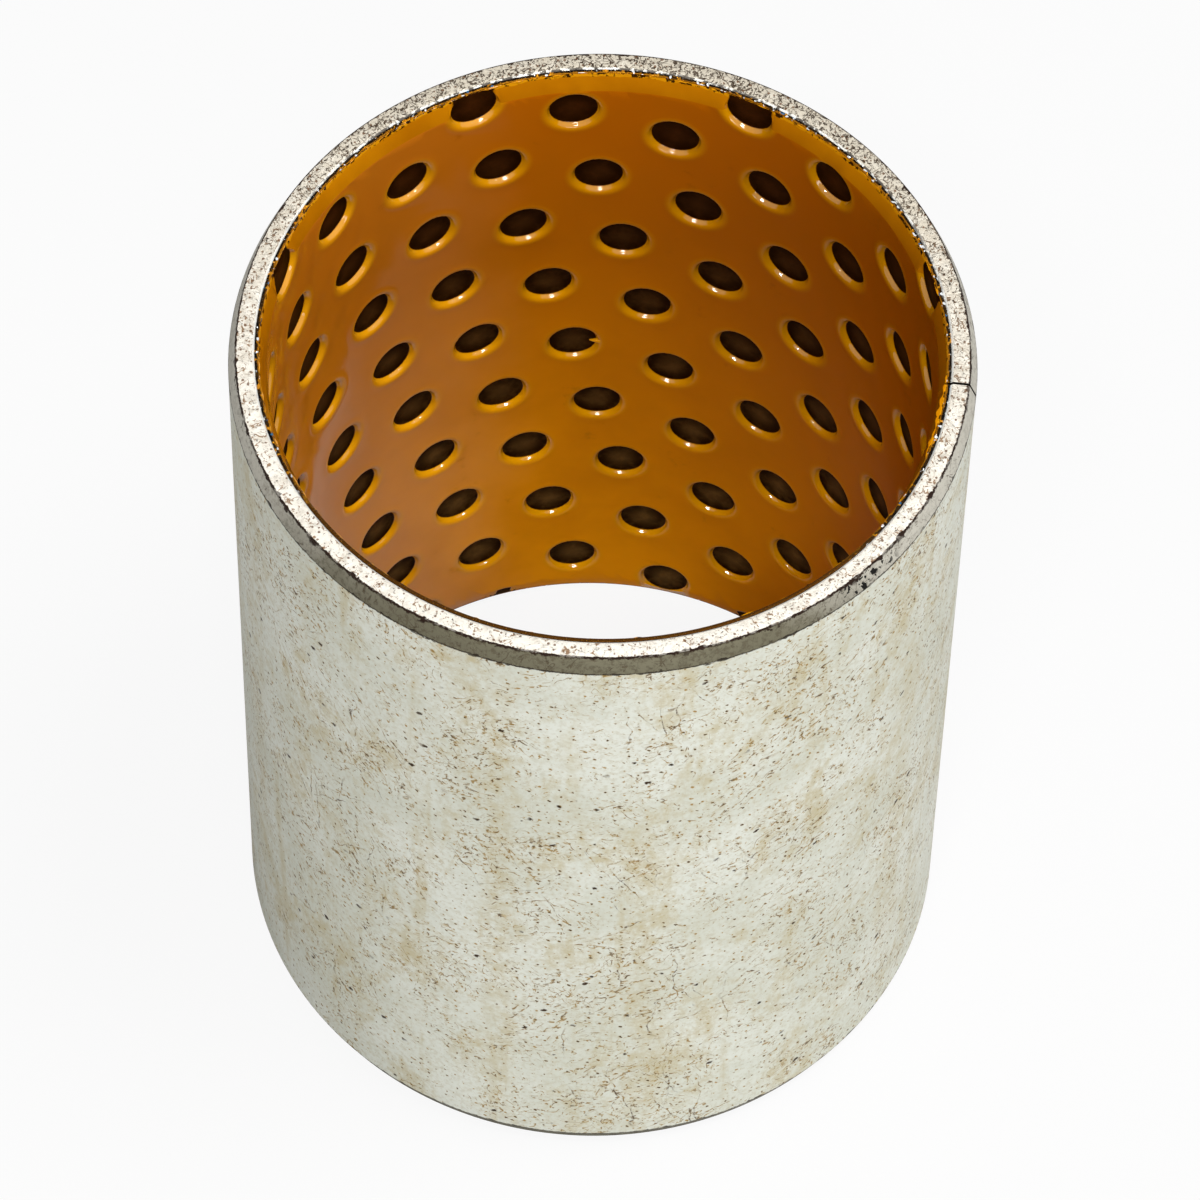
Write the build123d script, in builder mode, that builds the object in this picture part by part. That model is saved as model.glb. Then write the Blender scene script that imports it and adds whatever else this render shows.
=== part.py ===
from build123d import *
from math import ceil, cos, pi, radians, sin, tan
import os

# Wrapped composite plain bush: a tin-plated steel strip with a sintered bronze layer and an
# acetal liner, rolled into a tube with a butt joint and turned to length. It stands on one end,
# +Z is its axis, and the butt joint lies on +X.

# The bush as it is ordered: the shaft that it takes, and its length.
bore_diameter = 35.0
bush_length = 50.0

# The layers of the strip, from the shaft outwards.
liner_thickness = 0.4
bronze_thickness = 0.2
steel_thickness = 1.4

# The chamfers turned on both ends: a lead into the housing, and a lead for the shaft.
outer_chamfer_height = 1.0
outer_chamfer_width = 0.4
inner_chamfer_height = 1.2
inner_chamfer_width = 0.45

# The gap left where the ends of the strip meet.
seam_gap = 0.1

# The grease indents: flat-bottomed, with sides that flare towards the shaft. Each is near round,
# with this many flats, because there are so many of them.
indent_floor_diameter = 2.5
indent_depth = 0.3
indent_side_angle = 40.0
indent_side_count = 10
indent_tool_overrun = 0.2

# Where the indents lie: a slanted lattice, given by the step to the next indent round the bore
# and the step to the next one along it. Each step also drifts in the other direction.
indent_round_pitch = 5.46
indent_round_drift = 1.89
indent_axial_pitch = 5.89
indent_axial_drift = 1.41
first_indent_from_seam = 31.0
first_indent_from_end = 2.95

# A plain strip is left beside the seam. At the ends, an indent is still pressed where its
# centre lies this little past the edge.
indent_seam_margin = 0.3
indent_end_reach = 0.4

bore_radius = bore_diameter / 2
liner_outer_radius = bore_radius + liner_thickness
bronze_outer_radius = liner_outer_radius + bronze_thickness
outer_radius = bronze_outer_radius + steel_thickness


def layer_section(inner_radius, layer_outer_radius):
    """Half section of one layer: its band of the wall, inside the turned outline."""
    with BuildSketch(Plane.XZ) as section:
        with BuildLine():
            Polyline(
                (bore_radius, inner_chamfer_height),
                (bore_radius + inner_chamfer_width, 0),
                (outer_radius - outer_chamfer_width, 0),
                (outer_radius, outer_chamfer_height),
                (outer_radius, bush_length - outer_chamfer_height),
                (outer_radius - outer_chamfer_width, bush_length),
                (bore_radius + inner_chamfer_width, bush_length),
                (bore_radius, bush_length - inner_chamfer_height),
                close=True,
            )
        make_face()
        with Locations(((inner_radius + layer_outer_radius) / 2, bush_length / 2)):
            Rectangle(layer_outer_radius - inner_radius, bush_length, mode=Mode.INTERSECT)
    return section.sketch


def cut_seam():
    """Opens the wall along +X over the whole length, where the strip's ends meet."""
    with Locations((outer_radius, 0, bush_length / 2)):
        Box(outer_radius, seam_gap, bush_length, mode=Mode.SUBTRACT)


def indent_seats():
    """The centres of the indents' floors, each as a plane that faces the bush's axis."""
    bore_round = pi * bore_diameter
    mouth_radius = indent_floor_diameter / 2 + indent_depth * tan(radians(indent_side_angle))
    seam_clearance = mouth_radius + indent_seam_margin
    floor_distance = bore_radius + indent_depth
    columns = ceil(bore_round / indent_round_pitch)
    rows = ceil((bush_length + columns * indent_round_drift) / indent_axial_pitch)
    seats = []
    for column in range(-columns, columns + 1):
        for row in range(-rows, rows + 1):
            around = (
                first_indent_from_seam + column * indent_round_pitch + row * indent_axial_drift
            )
            below_end = (
                first_indent_from_end - column * indent_round_drift - row * indent_axial_pitch
            )
            height = bush_length - below_end
            clear_of_seam = seam_clearance < around < bore_round - seam_clearance
            on_liner = -indent_end_reach < height < bush_length + indent_end_reach
            if clear_of_seam and on_liner:
                turn = around / bore_radius
                floor_centre = (floor_distance * cos(turn), floor_distance * sin(turn), height)
                seats.append(Plane(origin=floor_centre, z_dir=(-cos(turn), -sin(turn), 0)))
    return seats


# Steel backing: the strip that gives the bush its strength and its press fit in the housing.
with BuildPart() as steel_backing:
    revolve(layer_section(bronze_outer_radius, outer_radius), axis=Axis.Z)
    cut_seam()

# Bronze layer: porous bronze sintered to the steel, which holds the liner.
with BuildPart() as bronze_layer:
    revolve(layer_section(liner_outer_radius, bronze_outer_radius), axis=Axis.Z)
    cut_seam()

# Indent punch: the form that presses one indent, standing on the indent's floor.
with BuildPart() as indent_punch:
    with BuildSketch():
        RegularPolygon(indent_floor_diameter / 2, indent_side_count)
    extrude(amount=indent_depth + indent_tool_overrun, taper=-indent_side_angle)

# Acetal liner: the running surface, with the grease indents pressed into it.
with BuildPart() as acetal_liner:
    revolve(layer_section(bore_radius, liner_outer_radius), axis=Axis.Z)
    cut_seam()
    with Locations(*indent_seats()):
        add(indent_punch.part, mode=Mode.SUBTRACT)

os.makedirs("parts", exist_ok=True)
for name, layer in (
    ("steel_backing", steel_backing),
    ("bronze_layer", bronze_layer),
    ("acetal_liner", acetal_liner),
):
    layer.part.label = name
    export_step(layer.part, f"parts/{name}.step")
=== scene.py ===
import random
from math import atan2, cos, hypot, pi, radians, sin

import bmesh
import bpy
import mathutils
from mathutils import Matrix, Vector


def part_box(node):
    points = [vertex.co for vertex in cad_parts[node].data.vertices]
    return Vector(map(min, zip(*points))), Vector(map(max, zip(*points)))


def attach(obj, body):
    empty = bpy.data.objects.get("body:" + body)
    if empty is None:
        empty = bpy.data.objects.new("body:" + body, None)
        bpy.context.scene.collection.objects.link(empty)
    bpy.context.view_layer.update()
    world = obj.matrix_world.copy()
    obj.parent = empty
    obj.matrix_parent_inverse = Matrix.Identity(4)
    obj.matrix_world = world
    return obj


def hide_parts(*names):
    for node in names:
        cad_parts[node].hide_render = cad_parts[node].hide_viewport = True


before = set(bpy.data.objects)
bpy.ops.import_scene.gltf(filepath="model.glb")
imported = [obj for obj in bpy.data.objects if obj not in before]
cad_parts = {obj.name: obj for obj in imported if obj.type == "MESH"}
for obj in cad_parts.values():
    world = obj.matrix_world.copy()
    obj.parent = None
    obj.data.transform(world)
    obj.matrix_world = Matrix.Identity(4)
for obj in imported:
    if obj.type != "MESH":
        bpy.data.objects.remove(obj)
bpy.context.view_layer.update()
random.seed(35)


# --- Steel backing -----------------------------------------------------------------------------
# The outer wall of the bush: tin-plated mild steel strip, rolled round and butted along +X, with
# both ends turned: a lead chamfer outside and a deburred edge inside. Lengths are in millimetres
# until a piece is finished.
low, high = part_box("steel_backing")
bush_length = (high.z - low.z) * 1000
outer_radius = -low.x * 1000
bore_radius = 17.5
steel_inner_radius = 18.1
seam_gap = 0.1
seam_turn = seam_gap / 2 / bore_radius
chamfer_height, chamfer_width = 1.0, 0.4
deburred = 0.13


def turned_part(bm, corners, rounding, steps):
    """Spins a closed section, given as radius and height, from one side of the seam round to
    the other, with its corners rounded."""
    section = bm.faces.new([bm.verts.new((radius, 0, height)) for radius, height in corners])
    bmesh.ops.bevel(
        bm, geom=section.verts[:], offset=rounding, offset_type="OFFSET", segments=3,
        profile=0.5, affect="VERTICES", material=-1,
    )
    bmesh.ops.rotate(
        bm, verts=bm.verts[:], cent=(0, 0, 0), matrix=Matrix.Rotation(seam_turn, 3, "Z"),
    )
    bmesh.ops.spin(
        bm, geom=bm.verts[:] + bm.edges[:] + bm.faces[:], cent=(0, 0, 0), axis=(0, 0, 1),
        angle=2 * pi - 2 * seam_turn, steps=steps, use_merge=False, use_duplicate=False,
    )


def finish_piece(bm, name, crease=35):
    """Turns a bmesh in millimetres into a smooth-shaded piece of the bush."""
    bmesh.ops.recalc_face_normals(bm, faces=bm.faces[:])
    if bm.calc_volume(signed=True) < 0:
        bmesh.ops.reverse_faces(bm, faces=bm.faces[:])
    bmesh.ops.scale(bm, vec=(0.001, 0.001, 0.001), verts=bm.verts[:])
    mesh = bpy.data.meshes.new(name)
    bm.to_mesh(mesh)
    bm.free()
    mesh.shade_smooth()
    mesh.set_sharp_from_angle(angle=radians(crease))
    piece = bpy.data.objects.new(name, mesh)
    bpy.context.scene.collection.objects.link(piece)
    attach(piece, "root")
    return piece


class Value:
    """One socket of a material. Arithmetic on it adds Math nodes, and node() adds any other."""

    def __init__(self, tree, socket=None):
        self.tree, self.socket = tree, socket

    def node(self, kind, settings=None, sockets=None, out=0):
        """A new node of any kind: its settings come first, then its sockets' links or values."""
        made = self.tree.nodes.new("ShaderNode" + kind)
        for name, setting in (settings or {}).items():
            setattr(made, name, setting)
        for name, value in (sockets or {}).items():
            if isinstance(value, Value):
                self.tree.links.new(value.socket, made.inputs[name])
            else:
                made.inputs[name].default_value = value
        return Value(self.tree, made.outputs[out])

    def math(self, operation, *others):
        return self.node("Math", {"operation": operation}, dict(enumerate((self, *others))))

    def reflected(self, operation, first):
        return self.node("Math", {"operation": operation}, {0: first, 1: self})

    def __add__(self, other): return self.math("ADD", other)
    def __radd__(self, other): return self.reflected("ADD", other)
    def __sub__(self, other): return self.math("SUBTRACT", other)
    def __rsub__(self, other): return self.reflected("SUBTRACT", other)
    def __mul__(self, other): return self.math("MULTIPLY", other)
    def __rmul__(self, other): return self.reflected("MULTIPLY", other)
    def __pow__(self, other): return self.math("POWER", other)
    def __rpow__(self, other): return self.reflected("POWER", other)
    def __abs__(self): return self.math("ABSOLUTE")
    def most(self, other): return self.math("MAXIMUM", other)

    def fade(self, start, end):
        """0 before start and 1 past end; the other way round where start is the higher."""
        if start > end:
            return 1 - self.fade(end, start)
        return self.node(
            "MapRange", {"interpolation_type": "SMOOTHSTEP"},
            {"Value": self, "From Min": start, "From Max": end},
        )


def colour(red, green, blue):
    """A colour from its three screen values, as a shader wants it."""
    levels = [level / 255 for level in (red, green, blue)]
    linear = [v / 12.92 if v <= 0.04045 else ((v + 0.055) / 1.055) ** 2.4 for v in levels]
    return (*linear, 1)


def paint(mask, under, over):
    """One colour laid over another where the mask is 1."""
    return mask.node("Mix", {"data_type": "RGBA"}, {0: mask, 6: under, 7: over}, out=2)


def new_finish(name):
    """A material with its Principled shader, and the start of its expressions."""
    material = bpy.data.materials.new(name)
    material.use_nodes = True
    return material, material.node_tree.nodes["Principled BSDF"], Value(material.node_tree)


def link(value, shader, socket):
    """Joins an expression to one socket of a shader."""
    value.tree.links.new(value.socket, shader.inputs[socket])


def millimetre_point(start):
    """A point of the piece in millimetres, followed by its x, its y and its height."""
    place = start.node("TexCoord", out=3)
    place = place.node("VectorMath", {"operation": "SCALE"}, {0: place, "Scale": 1000})
    return (place, *(place.node("SeparateXYZ", {}, {0: place}, axis) for axis in range(3)))


def noise(point, scale, detail=2.0, roughness=0.5, distortion=0.0, dimensions="3D"):
    """Cloudy noise round 0.5, with so many clouds to a millimetre."""
    return point.node(
        "TexNoise", {"noise_dimensions": dimensions},
        {"Vector": point, "Scale": scale, "Detail": detail, "Roughness": roughness,
         "Distortion": distortion},
    )


def cells(point, scale, out=0):
    """Distance to the nearest of many scattered seeds; with out=1, that seed's own lot."""
    return point.node(
        "TexVoronoi", {"voronoi_dimensions": "2D"}, {"Vector": point, "Scale": scale}, out,
    )


def stretched(point, turn, along, across):
    """The same place on the wall in turned and stretched units, for marks with a grain."""
    turned = point.node("Mapping", {}, {"Vector": point, "Rotation": (0, 0, radians(turn))})
    return turned.node("Mapping", {}, {"Vector": turned, "Scale": (1 / along, 1 / across, 1)})


bm = bmesh.new()
turned_part(bm, [
    (steel_inner_radius, deburred),
    (steel_inner_radius + deburred, 0),
    (outer_radius - chamfer_width, 0),
    (outer_radius, chamfer_height),
    (outer_radius, bush_length - chamfer_height),
    (outer_radius - chamfer_width, bush_length),
    (steel_inner_radius + deburred, bush_length),
    (steel_inner_radius, bush_length - deburred),
], rounding=0.04, steps=240)
steel = finish_piece(bm, "steel_backing_turned", crease=20)
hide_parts("steel_backing")

tin_plate, shader, start = new_finish("tin_plate_worn")
place, x, y, height = millimetre_point(start)
half_length = bush_length / 2
radius = (x * x + y * y) ** 0.5
around = (y * -1).math("ARCTAN2", x * -1) * outer_radius
from_middle = abs(height - half_length)
wall = place.node("CombineXYZ", {}, {0: around, 1: height})

# The plated wall: pale cool grey, tanned in soft patches and down a few faint streaks.
mottle = noise(place, 1.1, 6, 0.75)
plate = paint(noise(place, 0.12, 5, 0.65).fade(0.35, 0.65), colour(219, 221, 211),
              colour(206, 208, 195))
plate = paint(noise(place, 3.4, 3, 0.6).fade(0.42, 0.72) * 0.5, plate, colour(190, 184, 160))
tan = noise(stretched(wall, 8, 4.2, 8.0), 1.0, 7, 0.72, 0.3, "2D")
streak = noise(stretched(wall, 0, 2.2, 30.0), 1.0, 4, 0.6, 0.2, "2D")
tan = (tan + (mottle - 0.5) * 0.75).fade(0.47, 0.78)
tan = tan.most((streak + (mottle - 0.5) * 0.5).fade(0.58, 0.8) * 0.8)
# Runs of stain: where each lies round the wall, its width, its foot and top, and its strength.
sway = noise(wall, 0.22, 3, 0.6, dimensions="2D") - 0.5
for run_at, run_width, run_foot, run_top, run_strength in (
    (27.5, 1.3, 2, 47, 0.9), (35.6, 1.5, 1, 19, 0.9), (36.9, 0.35, 26, 45, 0.7),
    (31.4, 0.7, 30, 49, 0.5), (52.0, 2.0, 8, 40, 0.8), (70.0, 1.4, 3, 30, 0.8),
    (9.0, 1.6, 6, 44, 0.7),
):
    run = abs(around + sway * 3.0 - run_at).fade(run_width, run_width * 0.15)
    run = run * height.fade(run_foot - 3, run_foot + 6) * height.fade(run_top + 3, run_top - 4)
    tan = tan.most(run * mottle.fade(0.34, 0.66) * run_strength)
plate = paint(tan * 0.66, plate, colour(184, 169, 124))

# Brown dots where the plating is porous, each of its own size and depth of colour, with a
# faint rusty halo. They lie on a wall whose coordinates are shaken, so that none is round.
shaken = noise(wall, 4.0, 2, dimensions="2D") - 0.5
shaken = wall.node("VectorMath", {"operation": "ADD"}, {
    0: wall, 1: shaken.node("CombineXYZ", {}, {0: shaken * 0.24, 1: shaken * -0.2}),
})


def specks(point, scale, least, most):
    """Dots of random size, one to a cell at most, as the distance inside each dot's edge. A
    least size below 0 leaves cells empty."""
    lot = point.node("SeparateColor", {}, {0: cells(point, scale, out=1)})
    return lot * (most - least) + least - cells(point, scale)


inside_dot = specks(shaken, 1.75, -0.03, 0.15)
dots = inside_dot.fade(-0.01, 0.04)
depth_of_dot = shaken.node("SeparateColor", {}, {0: cells(shaken, 1.75, out=1)}, 1)
tiny = specks(shaken, 3.1, -0.16, 0.16).fade(-0.01, 0.04)
pits = specks(shaken, 0.52, -0.55, 0.085).fade(-0.01, 0.04)
crowding = noise(place, 0.16, 3, 0.6).fade(0.32, 0.62)
brown = paint((depth_of_dot + crowding * 0.3).fade(0.3, 1.0), colour(160, 132, 76),
              colour(66, 42, 6))
plate = paint(tiny * 0.5, plate, colour(160, 134, 76))
plate = paint(inside_dot.fade(-0.07, 0.0) * 0.4, plate, colour(186, 156, 92))
plate = paint(dots * 0.95, plate, brown)
plate = paint(pits, plate, colour(48, 30, 6))

# Scratches: broken brown hairs that lie one way or another in patches, with a few long ones.
# Each family has its turn from level, its length and spacing along and across, the width of a
# hair, and where its patches are: their scale, and the noise at which they start.
wander = noise(wall, 0.45, 2, dimensions="2D") - 0.5
bent = wall.node("VectorMath", {"operation": "ADD"}, {
    0: wall, 1: wander.node("CombineXYZ", {}, {0: wander * 1.5, 1: wander * -1.0}),
})
broken = noise(wall, 3.0, 2, 0.6, dimensions="2D").fade(0.47, 0.54)
strokes = stains = long_strokes = dots * 0
for turn, along, across, width, patch_scale, patch_start in (
    (-32, 2.0, 0.6, 0.021, 0.17, 0.50), (50, 1.8, 0.55, 0.018, 0.21, 0.54),
    (4, 1.8, 0.5, 0.019, 0.26, 0.58), (84, 2.4, 0.6, 0.016, 0.22, 0.55),
    (-22, 0.8, 0.6, 0.018, 0.3, 0.56),
):
    line = noise(stretched(bent, turn, along, across), 1.0, 1.5, 0.5, 0, "2D") - 0.5
    line = abs(line + turn * 0.0004)
    patch = noise(place, patch_scale, 3, 0.6).fade(patch_start, patch_start + 0.06) * broken
    strokes = strokes.most(line.fade(width, width * 0.3) * patch)
    stains = stains.most(line.fade(width * 2.2, width) * patch)
for turn, along, across, patch_start in (
    (-36, 34.0, 0.62, 0.54), (62, 30.0, 0.55, 0.55), (88, 40.0, 0.7, 0.52),
):
    line = cells(stretched(bent, turn, along, across), 1.0).fade(0.085, 0.04)
    patch = noise(place, 0.14, 2).fade(patch_start, patch_start + 0.08)
    long_strokes = long_strokes.most(line * patch)
strokes = strokes.most(long_strokes * (broken * 0.7 + 0.3))
tone = noise(wall, 0.9, 2, dimensions="2D").fade(0.4, 0.62)
plate = paint(stains * 0.45, plate, colour(182, 152, 90))
plate = paint(strokes * 0.88, plate, paint(tone, colour(146, 116, 54), colour(70, 44, 6)))
gouge = cells(stretched(shaken, -24, 1.5, 1.0), 0.42).fade(0.065, 0.04)
gouge = gouge * noise(place, 0.33, 2).fade(0.56, 0.62)
plate = paint(gouge, plate, colour(54, 34, 8))

# The turned chamfer: bare grey steel, pitted, with painted shade darkening it at the front.
chamfer_pits = noise(place, 3.2, 5, 0.75).fade(0.46, 0.62)
# Painted shade: the chamfer is laid darker towards the front, and its pits show darker there too.
front_shade = (noise(place, 0.2, 2) * 8 - y).fade(12, 22)
bare = paint(front_shade, colour(190, 186, 174), colour(104, 100, 82))
bare = paint(chamfer_pits * (front_shade * 0.4 + 0.2), bare, colour(78, 70, 54))
bare = paint(strokes * 0.6, bare, colour(60, 46, 30))
# A cluster of black chips in one stretch of the upper chamfer.
chipped_at = 48.0
chips = noise(place, 2.6, 2, 0.6).fade(0.55, 0.58) * height.fade(half_length, half_length + 1)
bare = paint(chips * abs(around - chipped_at).fade(2.6, 1.4), bare, colour(14, 12, 10))

# The end face: cut strip, bright, with brown worm-like pits; rough at the back, with painted shade
# there.
rough_and_shaded_back = (y + noise(place, 0.3, 2) * 8).fade(-2, 20)
grain = noise(place, 4.2, 4, 0.75, 0.6)
worms = abs(noise(place, 2.0, 2, 0.5, 0.8) - 0.5).fade(0.036, 0.014)
worms = worms * (noise(place, 1.8, 2, 0.6) + (y * 0.004)).fade(0.44, 0.52)
radial = cells(stretched(place.node("CombineXYZ", {}, {0: around, 1: radius}), 0, 0.5, 6.0), 1.0)
radial = radial.fade(0.06, 0.03) * rough_and_shaded_back
# Painted shade: the face is laid darker towards the back.
cut = paint((noise(place, 1.6, 3) + y * 0.006).fade(0.35, 0.7), colour(224, 219, 208),
            colour(200, 192, 178))
cut = paint(rough_and_shaded_back * 0.6, cut, colour(186, 177, 158))
cut = paint((grain - rough_and_shaded_back * 0.075).fade(0.395, 0.345), cut, colour(58, 46, 34))
cut = paint(worms * 0.9, cut, paint(rough_and_shaded_back, colour(134, 102, 70), colour(70, 56, 42)))
cut = paint(specks(place, 2.9, -0.10, 0.24).fade(-0.01, 0.04) * 0.85, cut, colour(100, 68, 42))
cut = paint(radial * 0.8, cut, colour(60, 50, 40))

# The three are laid in their places, which have ragged borders. The deburred inner edge shines,
# apart from dark patches over it at the back.
chamfer_foot = half_length - chamfer_height
bevel_edge = steel_inner_radius + deburred
ragged = noise(place, 4.0, 4, 0.7) * 0.22
on_chamfer = (from_middle + ragged).fade(chamfer_foot + 0.08, chamfer_foot + 0.13)
on_end = from_middle.fade(half_length - 0.045, half_length - 0.02)
on_bevel = (radius + ragged * 0.6).fade(bevel_edge + 0.06, bevel_edge + 0.02)
dark_at_back = noise(place, 1.5, 4, 0.65).fade(0.47, 0.53) * y.fade(2, 12)
skin = paint(on_chamfer, plate, bare)
skin = paint(on_end, skin, cut)
skin = paint(on_bevel * from_middle.fade(half_length - 0.3, half_length - 0.2), skin,
             paint(dark_at_back * 0.9, colour(236, 235, 228), colour(52, 38, 20)))
# Dark rolled-over lines run along both edges of the chamfer.
chipped = noise(place, 1.2, 2, 0.6).fade(0.55, 0.68) * 0.09
lower_edge = abs(from_middle - chamfer_foot + ragged - 0.11) - chipped * 1.2
lower_edge = lower_edge.fade(0.06, 0.03)
upper_edge = abs(radius - (outer_radius - chamfer_width) + ragged * 0.9 - 0.09) - chipped
upper_edge = upper_edge.fade(0.065, 0.035) * from_middle.fade(half_length - 0.4, half_length - 0.2)
worn = noise(place, 1.3, 3, 0.7).fade(0.38, 0.5)
skin = paint(lower_edge * (worn * 0.4 + 0.5), skin, colour(34, 26, 18))
skin = paint(upper_edge * (worn * 0.3 + 0.7), skin, colour(36, 22, 14))
# The butted edges are dark with old grease.
at_seam = abs(y).fade(seam_gap * 0.85, seam_gap * 0.6) * x.fade(0, 1)
skin = paint(at_seam, skin, colour(26, 20, 14))
link(skin, shader, "Base Color")
link(0.42 + dots * 0.3 + mottle * 0.18, shader, "Roughness")
relief = noise(place, 9, 3, 0.6) * 0.25 - (dots + pits) * 0.4 - strokes * 0.4
relief = relief - (grain.fade(0.5, 0.36) + worms * 0.5) * on_end * 1.4
relief = relief - chamfer_pits * on_chamfer * 0.5
bump = relief.node("Bump", {}, {"Height": relief, "Strength": 0.5, "Distance": 0.00006})
link(bump, shader, "Normal")
shader.inputs["Metallic"].default_value = 0.35
shader.inputs["IOR"].default_value = 1.22
steel.data.materials.append(tin_plate)


# --- Bronze layer ------------------------------------------------------------------------------
# A thin bed of bronze powder, sintered on to the steel, which the liner is keyed into. It is
# seen only at the ends, as a dark porous line, partly painted shade, with painted glints on its
# grains.
liner_outer_radius = 17.9
bronze_recess = 0.07
grain_count = 620
seam_margin = 0.002

bm = bmesh.new()
turned_part(bm, [
    (liner_outer_radius, bronze_recess),
    (steel_inner_radius, bronze_recess),
    (steel_inner_radius, bush_length - bronze_recess),
    (liner_outer_radius, bush_length - bronze_recess),
], rounding=0.01, steps=180)
one_grain = bmesh.new()
bmesh.ops.create_icosphere(one_grain, subdivisions=1, radius=1)
grain_mesh = bpy.data.meshes.new("grain")
one_grain.to_mesh(grain_mesh)
one_grain.free()


def add_copy(bm, mesh, place):
    """Adds a copy of a small mesh to a bmesh, where the matrix puts it."""
    mesh.transform(place)
    bm.from_mesh(mesh)
    mesh.transform(place.inverted())


for at_top in (False, True):
    for count in range(grain_count):
        turn = seam_turn + seam_margin
        turn += (2 * pi - 2 * turn) * (count + random.random()) / grain_count
        size = random.uniform(0.035, 0.06) + 0.06 * random.random() ** 4
        lane = random.uniform(liner_outer_radius + size, steel_inner_radius - size * 0.6)
        sunk = max(bronze_recess, size)
        spot = Vector((lane * cos(turn), lane * sin(turn), bush_length - sunk if at_top else sunk))
        add_copy(bm, grain_mesh, Matrix.Translation(spot) @ Matrix.Scale(size, 4))
bpy.data.meshes.remove(grain_mesh)
bronze = finish_piece(bm, "bronze_layer_sintered", crease=60)
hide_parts("bronze_layer")

sinter, shader, start = new_finish("bronze_sintered")
place, x, y, height = millimetre_point(start)
tint = noise(place, 2.2, 2)
# The powder is painted near black: partly its own dark bronze, partly painted shade among the
# pores.
powder = paint(tint.fade(0.45, 0.6), colour(18, 16, 15), colour(52, 36, 18))
# Resin has crept in among the grains next to the liner.
resin_reach = liner_outer_radius + 0.18
near_liner = ((x * x + y * y) ** 0.5 + tint * 0.3).fade(resin_reach + 0.05, resin_reach)
powder = paint(near_liner, powder, colour(150, 98, 20))
# Painted glints: gold, white and blue flecks stand in for light caught by the grains.
powder = paint(noise(place, 2.6, 1).fade(0.60, 0.66), powder, colour(190, 130, 30))
powder = paint(noise(place, 3.1, 1).fade(0.64, 0.69), powder, colour(226, 230, 232))
powder = paint(noise(place, 1.7, 1).fade(0.68, 0.72), powder, colour(60, 110, 150))
# At the front the ring is brown all over, with none of the painted glints.
powder = paint(y.fade(-8, -13), powder, colour(78, 48, 14))
link(powder, shader, "Base Color")
shader.inputs["Metallic"].default_value = 1.0
shader.inputs["Roughness"].default_value = 0.32
bronze.data.materials.append(sinter)


# --- Acetal liner ------------------------------------------------------------------------------
# The running surface: amber acetal laid on the flat strip, with rows of round grease indents
# pressed into it before the strip is rolled. Both ends are chamfered to lead the shaft in.
bore_round = 2 * pi * bore_radius
liner_thickness = liner_outer_radius - bore_radius
lead_height, lead_width = 1.2, 0.45
# The lattice on the flat strip: x runs round the bore from the seam, z up it, y outwards.
round_step, axial_step = Vector((5.46, 0, 1.89)), Vector((1.41, 0, 5.89))
first_indent = Vector((31.0, 0, bush_length - 2.95))
clear_of_seam, past_the_end = 1.80, 1.1
# The indent from its rim to its floor, as radius and depth: a raised lip, a steep wall, then a
# flat floor.
indent_sides = 28
shoulder_radius = 2.02
wall_foot_radius, floor_radius = 1.33, 1.28
indent_rings = [(1.86, -0.012), (1.72, -0.022), (1.60, -0.011), (1.52, 0.014), (1.46, 0.053),
                (1.41, 0.11), (1.37, 0.185), (wall_foot_radius, 0.257), (floor_radius, 0.297),
                (1.05, 0.305)]


def inward_at(distance):
    """How far in from its indent's rim a point lies: 0 at the rim, and 1 in the middle."""
    return 1 - distance / shoulder_radius


def settle(bm):
    """Makes the edges and faces anew, in the order of their vertices. Extruding leaves them in an
    order that differs from run to run, and the cuts that follow depend on it."""
    bm.verts.index_update()
    vertices, outlines = bm.verts[:], []
    for face in bm.faces:
        corners = [vert.index for vert in face.verts]
        first = corners.index(min(corners))
        outlines.append(corners[first:] + corners[:first])
    for edge in bm.edges[:]:
        bm.edges.remove(edge)
    for outline in sorted(outlines):
        bm.faces.new([vertices[corner] for corner in outline])
    bm.normal_update()


# One tile of the lattice, with its indent pressed in.
bm = bmesh.new()
pressed_in = bm.verts.layers.float.new("pressed_in")
tile_edge = bmesh.ops.create_circle(bm, segments=4, radius=0.5 ** 0.5, cap_ends=False)["verts"]
bmesh.ops.rotate(bm, verts=tile_edge, cent=(0, 0, 0), matrix=Matrix.Rotation(pi / 4, 3, "Z"))
lattice = Matrix((
    (round_step.x, axial_step.x, 0),
    (0, 0, 1),
    (round_step.z, axial_step.z, 0),
))
bmesh.ops.transform(bm, matrix=lattice.to_4x4(), verts=tile_edge)
bmesh.ops.subdivide_edges(bm, edges=bm.edges[:], cuts=indent_sides // 4 - 1)
tile_edges = bm.edges[:]
bmesh.ops.create_circle(
    bm, segments=indent_sides, radius=shoulder_radius, cap_ends=False,
    matrix=Matrix.Rotation(pi / 2, 4, "X"),
)
rim_edges = [edge for edge in bm.edges if edge not in tile_edges]
bmesh.ops.bridge_loops(bm, edges=tile_edges + rim_edges)
spokes = [edge for edge in bm.edges if edge not in tile_edges and edge not in rim_edges]
bmesh.ops.subdivide_edges(bm, edges=spokes, cuts=1, use_grid_fill=True)
ring_radius, ring_depth = shoulder_radius, 0.0
ring_edges = [edge for edge in bm.edges
              if all(abs(hypot(v.co.x, v.co.z) - shoulder_radius) < 1e-3 for v in edge.verts)]
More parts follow.
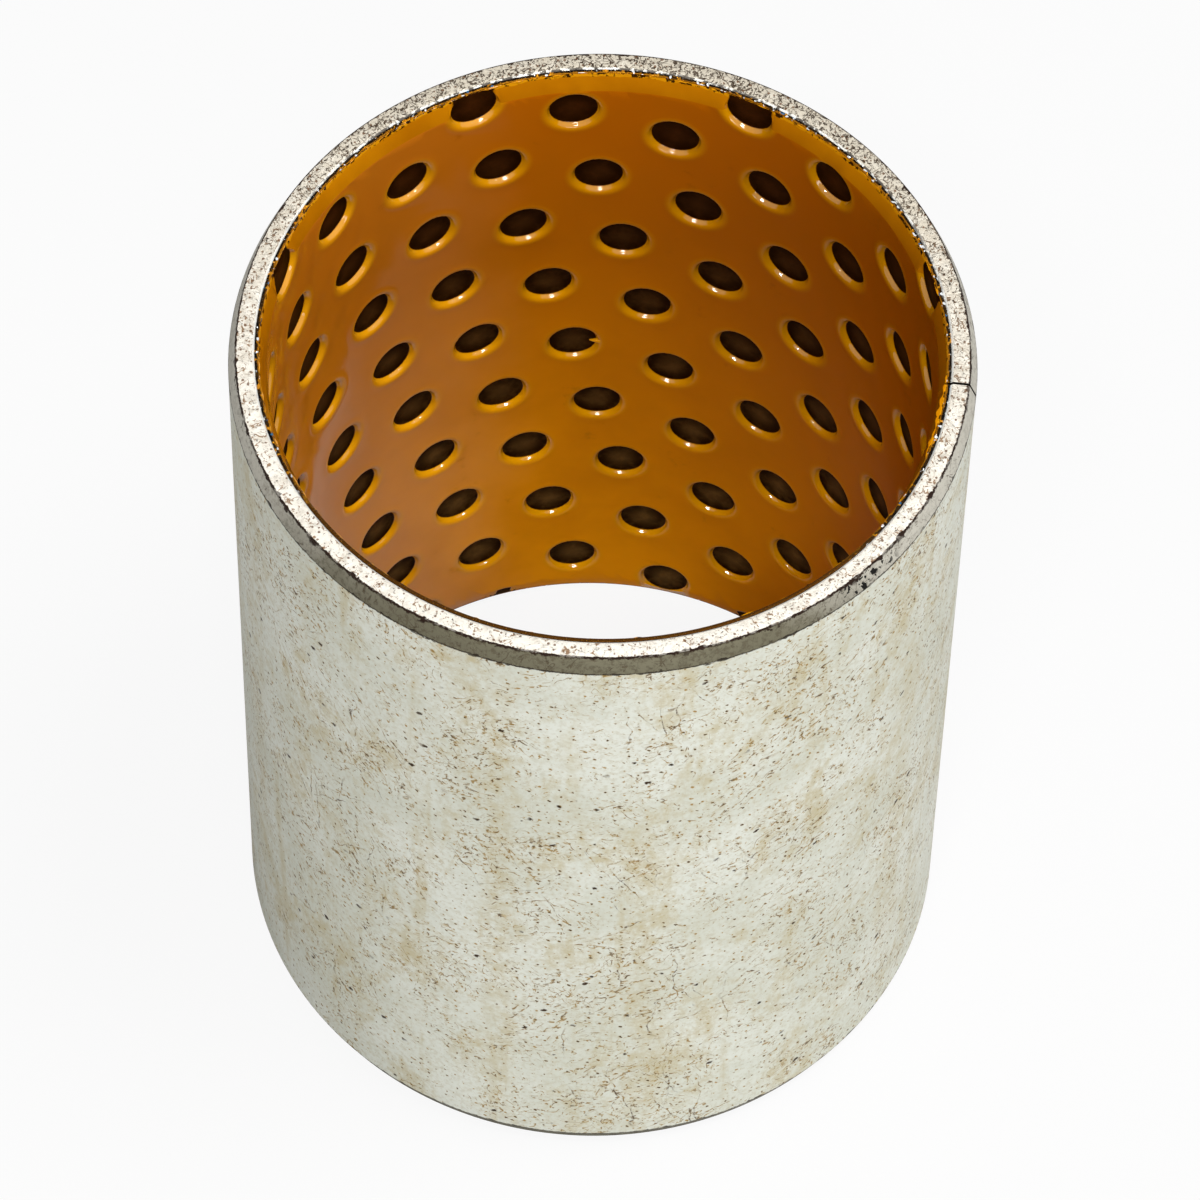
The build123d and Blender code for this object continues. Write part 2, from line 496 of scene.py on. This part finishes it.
for next_radius, next_depth in indent_rings:
    grown = bmesh.ops.extrude_edge_only(bm, edges=ring_edges)["geom"]
    ring = [item for item in grown if isinstance(item, bmesh.types.BMVert)]
    ring_edges = [item for item in grown if isinstance(item, bmesh.types.BMEdge)
                  and all(v in ring for v in item.verts)]
    ratio = next_radius / ring_radius
    bmesh.ops.scale(bm, vec=(ratio, 1, ratio), verts=ring)
    bmesh.ops.translate(bm, vec=(0, next_depth - ring_depth, 0), verts=ring)
    for vert in ring:
        vert[pressed_in] = inward_at(next_radius)
    ring_radius, ring_depth = next_radius, next_depth
floor_face = bmesh.ops.contextual_create(bm, geom=ring_edges)["faces"]
for vert in bmesh.ops.poke(bm, faces=floor_face)["verts"]:
    vert[pressed_in] = 1
settle(bm)

# The tiles are laid out over the flat strip; beside the seam they are left plain.
pressed_tile = bpy.data.meshes.new("pressed_tile")
bm.to_mesh(pressed_tile)
for vert in bm.verts:
    vert.co.y = vert[pressed_in] = 0
plain_tile = bpy.data.meshes.new("plain_tile")
bm.to_mesh(plain_tile)
bm.clear()
spare = 4.5
for column in range(-22, 30):
    for row in range(-24, 24):
        centre = first_indent + round_step * column + axial_step * row
        if -spare < centre.x < bore_round + spare and -spare < centre.z < bush_length + spare:
            pressed = (clear_of_seam < centre.x < bore_round - clear_of_seam
                       and -past_the_end < centre.z < bush_length + past_the_end)
            add_copy(bm, pressed_tile if pressed else plain_tile, Matrix.Translation(centre))
bpy.data.meshes.remove(pressed_tile)
bpy.data.meshes.remove(plain_tile)
bmesh.ops.remove_doubles(bm, verts=bm.verts[:], dist=0.002)

# A shred of resin still hangs from the side of one indent, half way down the bore.
torn_indent = first_indent + round_step - axial_step * 4
shred = bmesh.ops.create_cone(
    bm, segments=8, radius1=0.22, radius2=0.03, depth=0.6, cap_ends=True,
    matrix=Matrix.Translation(torn_indent + Vector((-1.2, 0.15, 0.05)))
    @ Matrix.Rotation(radians(84), 4, "Y"),
)["verts"]
for vert in shred:
    vert[pressed_in] = inward_at(1.487)

# The chamfers and the butted edges are cut on the flat strip, then carried back to the bronze.
slope = lead_height / lead_width
for end, away in ((0, -1), (bush_length, 1)):
    cut_line = bmesh.ops.bisect_plane(
        bm, geom=bm.verts[:] + bm.edges[:] + bm.faces[:], clear_outer=True,
        plane_co=(0, 0, end - away * lead_height), plane_no=(0, -slope, away),
    )["geom_cut"]
    cut_edges = [item for item in cut_line if isinstance(item, bmesh.types.BMEdge)]
    grown = bmesh.ops.extrude_edge_only(bm, edges=cut_edges)["geom"]
    for vert in (item for item in grown if isinstance(item, bmesh.types.BMVert)):
        vert.co.y = liner_thickness
        vert.co.z = end - away * (lead_height - slope * liner_thickness)
    settle(bm)
for side, away in ((seam_turn * bore_radius, -1), (bore_round - seam_turn * bore_radius, 1)):
    cut_line = bmesh.ops.bisect_plane(
        bm, geom=bm.verts[:] + bm.edges[:] + bm.faces[:], clear_outer=True,
        plane_co=(side, 0, 0), plane_no=(away, 0, 0),
    )["geom_cut"]
    cut_edges = [item for item in cut_line if isinstance(item, bmesh.types.BMEdge)]
    grown = bmesh.ops.extrude_edge_only(bm, edges=cut_edges)["geom"]
    for vert in (item for item in grown if isinstance(item, bmesh.types.BMVert)):
        vert.co.y = liner_thickness
    settle(bm)
    seam_faces = [f for f in bm.faces if all(abs(v.co.x - side) < 1e-4 for v in f.verts)]
    bmesh.ops.dissolve_faces(bm, faces=seam_faces, use_verts=True)
bmesh.ops.remove_doubles(bm, verts=bm.verts[:], dist=0.0005)
# The back is closed as one flat face, then parted into narrow strips that can follow the roll.
back_edges = [edge for edge in bm.edges if edge.is_boundary]
back = bmesh.ops.holes_fill(bm, edges=back_edges, sides=0)["faces"]
back_strips = 54
for strip in range(1, back_strips):
    back = [face for face in bm.faces
            if all(abs(v.co.y - liner_thickness) < 1e-4 for v in face.verts)]
    bmesh.ops.bisect_plane(
        bm,
        geom=back + list({e for f in back for e in f.edges} | {v for f in back for v in f.verts}),
        plane_co=(bore_round * strip / back_strips, 0, 0), plane_no=(1, 0, 0),
    )

# The strip is rolled round the shaft.
for vert in bm.verts:
    turn, reach = vert.co.x / bore_radius, bore_radius + vert.co.y
    vert.co = (reach * cos(turn), reach * sin(turn), vert.co.z)

# A ragged flash of resin stands along the top end, thickest beside the butt joint. It stops a
# little short of the joint, with its top held below the end face.
flash_margin = 0.004
flash = bmesh.new()
bmesh.ops.create_circle(
    flash, segments=6, radius=1, cap_ends=True,
    matrix=Matrix.Translation((bore_radius, 0, 0)) @ Matrix.Rotation(pi / 2, 4, "X"),
)
bmesh.ops.rotate(flash, verts=flash.verts[:], matrix=Matrix.Rotation(flash_margin, 3, "Z"))
bmesh.ops.spin(
    flash, geom=flash.verts[:] + flash.edges[:] + flash.faces[:], cent=(0, 0, 0),
    axis=(0, 0, 1), angle=2 * pi - 2 * flash_margin, steps=800, use_merge=False,
    use_duplicate=False,
)
for vert in flash.verts:
    turn = atan2(vert.co.y, vert.co.x)
    across, rise = hypot(vert.co.x, vert.co.y) - bore_radius, vert.co.z
    spot = Vector((cos(turn), sin(turn), 1))
    size = 0.006 + 0.12 * max(0.0, mathutils.noise.noise(spot * 26) - 0.08)
    size += 0.08 * max(0.0, mathutils.noise.noise(spot * 83) - 0.1)
    by_seam = max(0.0, 1 - ((turn + 0.12) / 0.16) ** 2)
    size += 0.17 * by_seam * (0.7 + mathutils.noise.noise(spot * 40))
    reach = liner_outer_radius - 0.01 - 0.08 * by_seam + across * size
    level = min(bush_length - 0.1, bush_length - 0.16 + rise * size)
    vert.co = (reach * cos(turn), reach * sin(turn), level)
flash_mesh = bpy.data.meshes.new("flash")
flash.to_mesh(flash_mesh)
flash.free()
bm.from_mesh(flash_mesh)
bpy.data.meshes.remove(flash_mesh)

liner = finish_piece(bm, "acetal_liner_pressed", crease=50)
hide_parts("acetal_liner")

# The resin is amber, with painted light making it lighter towards the lower end and painted shade
# darker on one side.
amber, shader, start = new_finish("acetal_amber")
place, x, y, height = millimetre_point(start)
inward = start.node("Attribute", {"attribute_name": "pressed_in"}, out=2)
cloudy = noise(place, 0.12, 4, 0.6).fade(0.35, 0.68)
sunk = height.fade(bush_length, 0)
# Painted light: the body is lighter lower down the bore, and painted shade darkens the right side.
body = paint(sunk, colour(174, 92, 1), colour(236, 156, 3))
body = paint(x.fade(-8, 18) * 0.6, body, colour(160, 86, 1))
body = paint(cloudy * 0.3, body, colour(166, 96, 6))
smudge = noise(place, 0.5, 4, 0.65).fade(0.62, 0.8)
body = paint(smudge * 0.35, body, colour(120, 70, 10))
# A painted sheen: the body is laid paler on the left side, where the glossy oil film lies.
oil_film_and_sheen = (x + smudge * 4 + cloudy * 2).fade(-4, -12)
body = paint(oil_film_and_sheen * 0.18, body, colour(226, 150, 50))
# Painted sheen makes the indents' lips and walls golden; the chamfer at the top end is golden too.
on_floor = inward.fade(inward_at(wall_foot_radius), inward_at(floor_radius))
on_lip = inward.fade(0.024, 0.336) * (1 - on_floor)
on_lead = height.fade(bush_length - lead_height, bush_length - lead_height + 0.02)
# Painted sheen: the lips are laid golden.
resin = paint(on_lip * 0.6, body, colour(210, 152, 0))
resin = paint(on_lead * (1 - on_floor), resin,
              paint(cloudy, colour(168, 100, 2), colour(190, 120, 4)))
# Where the lead runs out at the bronze it is torn: gold shreds with dark gaps.
torn = (x * x + y * y) ** 0.5 + noise(place, 1.8, 3, 0.6) * 0.12
shreds = noise(place, 3.0, 3, 0.6)
resin = paint(torn.fade(liner_outer_radius - 0.015, liner_outer_radius + 0.005) * on_lead, resin,
              paint(shreds.fade(0.42, 0.5), colour(48, 26, 4), colour(200, 134, 8)))
# The floors are dark with old grease. Painted shade darkens them towards their edges,
# and a painted sheen makes them paler lower down.
deposit = noise(place, 1.4, 3, 0.6).fade(0.4, 0.7)
grease_shade_and_sheen = paint(inward.fade(0.36, 1.0) * 0.7 + deposit * 0.3, colour(28, 10, 0),
               paint(sunk, colour(58, 28, 6), colour(100, 76, 38)))
resin = paint(on_floor, resin, grease_shade_and_sheen)
link(resin, shader, "Base Color")
link(0.3 + on_floor * 0.2 + cloudy * 0.06, shader, "Roughness")
# The lips of the indents are glossy, and so is one side of the bore, where a film of oil lies.
gloss = inward.fade(0.17, 0.3).most(oil_film_and_sheen * (0.9 - smudge * 0.5)) * (1 - on_floor)
link(gloss, shader, "Coat Weight")
shader.inputs["Coat Roughness"].default_value = 0.09
shader.inputs["Coat IOR"].default_value = 1.6
shader.inputs["IOR"].default_value = 1.06
liner.data.materials.append(amber)


# --- Floor -------------------------------------------------------------------------------------
# A plain white sheet of card, which lies a tenth of a millimetre below the bush. It is seen
# almost white, and still takes the bush's shadow.
card_drop = 0.0001
bm = bmesh.new()
bmesh.ops.create_grid(
    bm, x_segments=1, y_segments=1, size=1.5, matrix=Matrix.Translation((0, 0, -card_drop)),
)
mesh = bpy.data.meshes.new("floor_card")
bm.to_mesh(mesh)
bm.free()
floor_card = bpy.data.objects.new("floor_card", mesh)
bpy.context.scene.collection.objects.link(floor_card)
card, shader, start = new_finish("card_white")
shader.inputs["Base Color"].default_value = (0.52, 0.52, 0.52, 1)
shader.inputs["Roughness"].default_value = 0.9
# Camera, glossy and transmission rays, in that order.
seen, mirrored, through = (start.node("LightPath", out=out) for out in (0, 3, 6))
glowing = (seen * 0.9).most(mirrored.most(through) * 0.1)
glow = start.node("Emission", {}, {"Color": (1, 1, 1, 1), "Strength": 1.0})
surface = start.node(
    "MixShader", {}, {0: glowing, 1: Value(card.node_tree, shader.outputs[0]), 2: glow},
)
link(surface, card.node_tree.nodes["Material Output"], "Surface")
floor_card.data.materials.append(card)


# --- Light -------------------------------------------------------------------------------------
# An even white tent that fills the shadows a little, and three soft lamps: a large one over
# the right, a small one high in front for the glints, and a large one low in front.
world = bpy.data.worlds.new("tent")
bpy.context.scene.world = world
world.use_nodes = True
sky = world.node_tree.nodes["Background"]
start = Value(world.node_tree)
seen, mirrored, through = (start.node("LightPath", out=out) for out in (0, 3, 6))
white = seen.most(mirrored).most(through)
strength = white.node("Mix", {"data_type": "FLOAT"}, {0: white, 2: 0.1, 3: 1.0})
link(strength, sky, "Strength")
sky.inputs["Color"].default_value = (1, 1, 1, 1)


def soft_lamp(name, place, width, depth, power):
    """A flat lamp that faces the middle of the bush."""
    data = bpy.data.lights.new(name, "AREA")
    data.shape, data.size, data.size_y, data.energy = "RECTANGLE", width, depth, power
    lamp = bpy.data.objects.new(name, data)
    lamp.location = place
    aim = Vector((0, 0, 0.03)) - lamp.location
    lamp.rotation_euler = aim.to_track_quat("-Z", "Y").to_euler()
    bpy.context.scene.collection.objects.link(lamp)


soft_lamp("lamp_over_right", (0.22, 0, 0.66), 0.25, 0.25, 3.7)
soft_lamp("lamp_over_front", (0, -0.35, 0.56), 0.17, 0.04, 2.4)
soft_lamp("lamp_low_front", (0.26, -0.66, 0.12), 0.4, 0.4, 2.4)


# --- Camera ------------------------------------------------------------------------------------
# A long lens, high in front of the bush and a little to its left, tilted well down. Its stand
# is measured from the middle of the upper end, in outer radii.
turn_to_seam = radians(5.535)
pitch, roll, yaw = 0.9960226, 0.0245535, 0.0039798
focal_length_in_frames = 6.1998445
stand = Vector((-0.0373313, -11.3349367, 16.2635321)) * 19.5
spot = (stand + Vector((0, 0, 50))) * 0.001
forward = Vector((sin(yaw) * cos(pitch), cos(yaw) * cos(pitch), -sin(pitch)))
right = Vector((cos(yaw), -sin(yaw), 0))
up = right.cross(forward)
right, up = right * cos(roll) + up * sin(roll), up * cos(roll) - right * sin(roll)
pose = Matrix((right, up, -forward)).transposed().to_4x4()
pose.translation = spot
camera = bpy.data.objects.new("camera", bpy.data.cameras.new("camera"))
camera.matrix_world = Matrix.Rotation(turn_to_seam, 4, "Z") @ pose
camera.data.sensor_width = 36
camera.data.lens = focal_length_in_frames * camera.data.sensor_width
camera.data.clip_start = 0.01
bpy.context.scene.collection.objects.link(camera)
bpy.context.scene.camera = camera
bpy.context.scene.view_settings.view_transform = "Standard"
